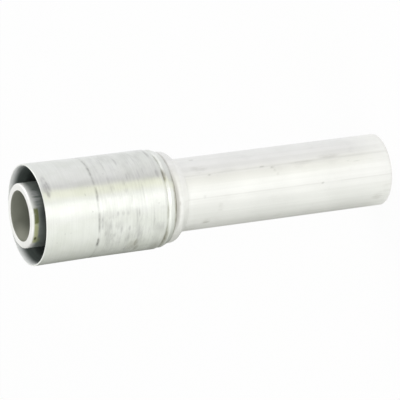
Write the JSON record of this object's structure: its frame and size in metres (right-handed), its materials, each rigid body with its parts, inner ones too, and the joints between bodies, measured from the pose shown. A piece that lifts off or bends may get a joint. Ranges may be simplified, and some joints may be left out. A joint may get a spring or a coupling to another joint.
{
  "type": "crimp hose end with plain tube stub",
  "caption": "Aluminium hose end: a hose nipple inside a crimp shell, joined by a beaded, swaged collar to a plain tube stub for joining to a pipe.",
  "frame": {"origin": "centre of the plain tube's cut end, on which the part stands", "axes": "+Z along the tube's axis towards the hose end; X and Y are equal, because the part is round"},
  "size_m": [0.0264, 0.0264, 0.1025],
  "materials": {
    "stem_aluminium": "drawn tube, matte and pale, with faint lines along it and a few nicks",
    "shell_aluminium": "turned and rolled, satin, with round scuffs and grey marks on the rolled stretch"
  },
  "bodies": {
    "root": {"tube_stem": "stem_aluminium", "crimp_shell": "shell_aluminium"}
  },
  "joints": []
}
